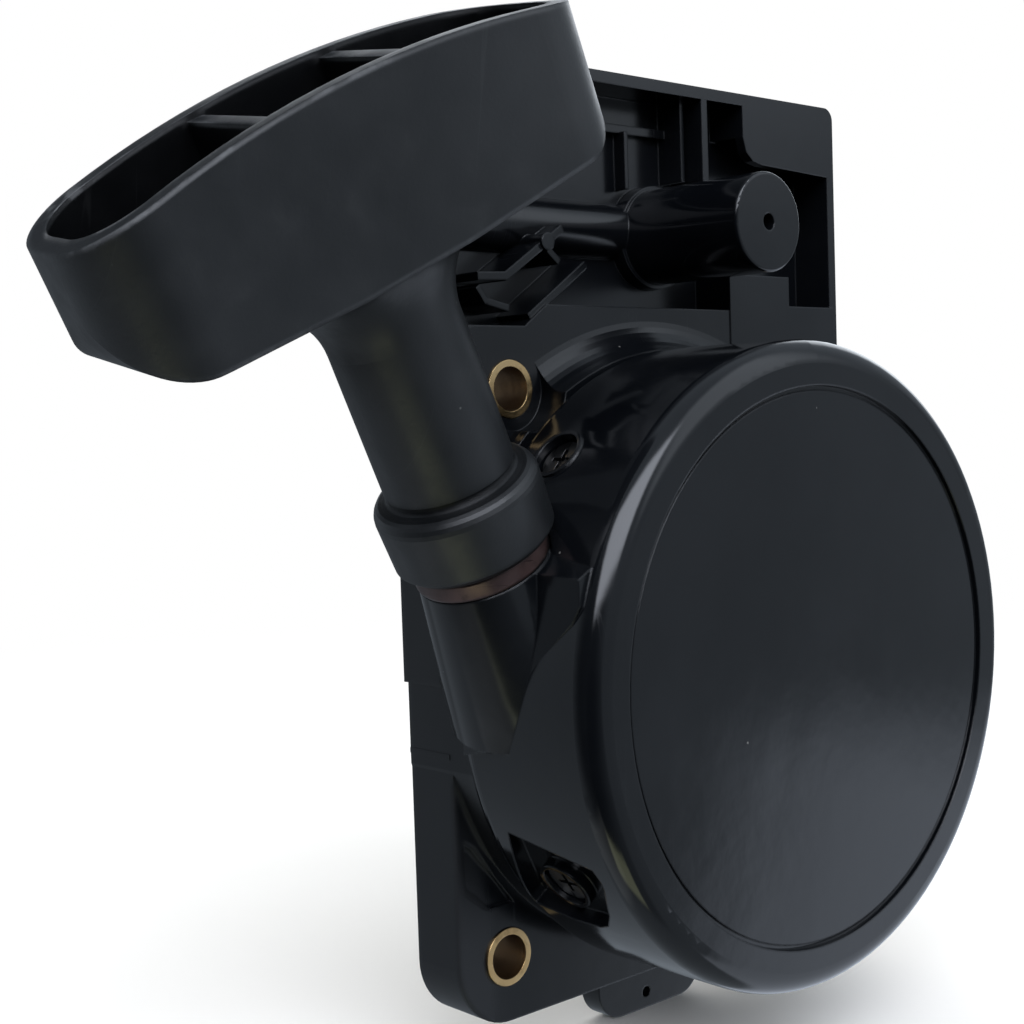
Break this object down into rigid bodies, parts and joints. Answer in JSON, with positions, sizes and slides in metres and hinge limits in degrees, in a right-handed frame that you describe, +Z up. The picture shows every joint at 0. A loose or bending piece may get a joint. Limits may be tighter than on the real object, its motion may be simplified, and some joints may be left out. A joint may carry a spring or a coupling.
{
  "type": "recoil starter",
  "caption": "Pull-cord recoil starter for a small engine: moulded drum housing with side rope outlet, open tray, T-handle, rope pulley, spiral spring and drive pawls",
  "frame": {"origin": "on the drum axis, in the rear mounting plane that lies on the engine", "axes": "drum axis along Y with the closed drum face towards -Y, engine side towards +Y; +Z up towards the open tray; +X to the right seen from the front"},
  "size_m": [0.1596, 0.047, 0.1512],
  "materials": {
    "housing_plastic": "glossy moulded black",
    "handle_plastic": "satin moulded charcoal black",
    "brass": "turned",
    "guide_brass": "worn reddish brass",
    "plated_steel": "zinc plated sheet",
    "screw_steel": "zinc plated",
    "spring_steel": "blued spring steel",
    "pawl_steel": "hardened, oiled",
    "bearing_bronze": "sintered bronze",
    "pulley_plastic": "glass-filled nylon",
    "rope": "braided nylon cord"
  },
  "bodies": {
    "housing": {"starter_housing": "housing_plastic", "mounting_sleeves": "brass", "rope_guide_bush": "guide_brass", "post_insert": "brass", "spring_case": "plated_steel", "case_cover": "plated_steel", "case_screws": "screw_steel", "recoil_spring": "spring_steel", "centre_washer": "screw_steel", "centre_screw": "screw_steel"},
    "pulley": {"rope_pulley": "pulley_plastic", "pulley_bush": "bearing_bronze", "rope_coil": "rope", "pulley_knot": "rope", "pawl_pins": "screw_steel", "friction_spring": "spring_steel"},
    "drag": {"drag_plate": "plated_steel"},
    "pawl_one": {"pawl_a": "pawl_steel"},
    "pawl_two": {"pawl_b": "pawl_steel"},
    "handle": {"handle_grip": "handle_plastic", "rope_washer": "screw_steel", "handle_knot": "rope", "rope_lead": "rope"}
  },
  "joints": [
    {"name": "handle_pull", "type": "slide", "parent": "housing", "child": "handle", "axis": [-0.4803, -0.1165, 0.8693], "range_m": [0, 0.75]},
    {"name": "pulley_spin", "type": "hinge", "parent": "housing", "child": "pulley", "pos_m": [0, -0.0185, 0], "axis": [0, 1, 0], "range_deg": [0, 1280]},
    {"name": "drag_slip", "type": "hinge", "parent": "pulley", "child": "drag", "pos_m": [0, -0.00325, 0], "axis": [0, -1, 0], "range_deg": [0, 16]},
    {"name": "pawl_a_swing", "type": "hinge", "parent": "pulley", "child": "pawl_one", "pos_m": [0.0245, -0.0055, 0], "axis": [0, -1, 0], "range_deg": [0, 24]},
    {"name": "pawl_b_swing", "type": "hinge", "parent": "pulley", "child": "pawl_two", "pos_m": [-0.0245, -0.0055, 0], "axis": [0, -1, 0], "range_deg": [0, 24]}
  ],
  "couplings": [
    {"joint": "pulley_spin", "follows": "handle_pull", "rad_per_m": 29.735},
    {"joint": "pawl_a_swing", "follows": "drag_slip", "ratio": 1.5},
    {"joint": "pawl_b_swing", "follows": "drag_slip", "ratio": 1.5}
  ]
}
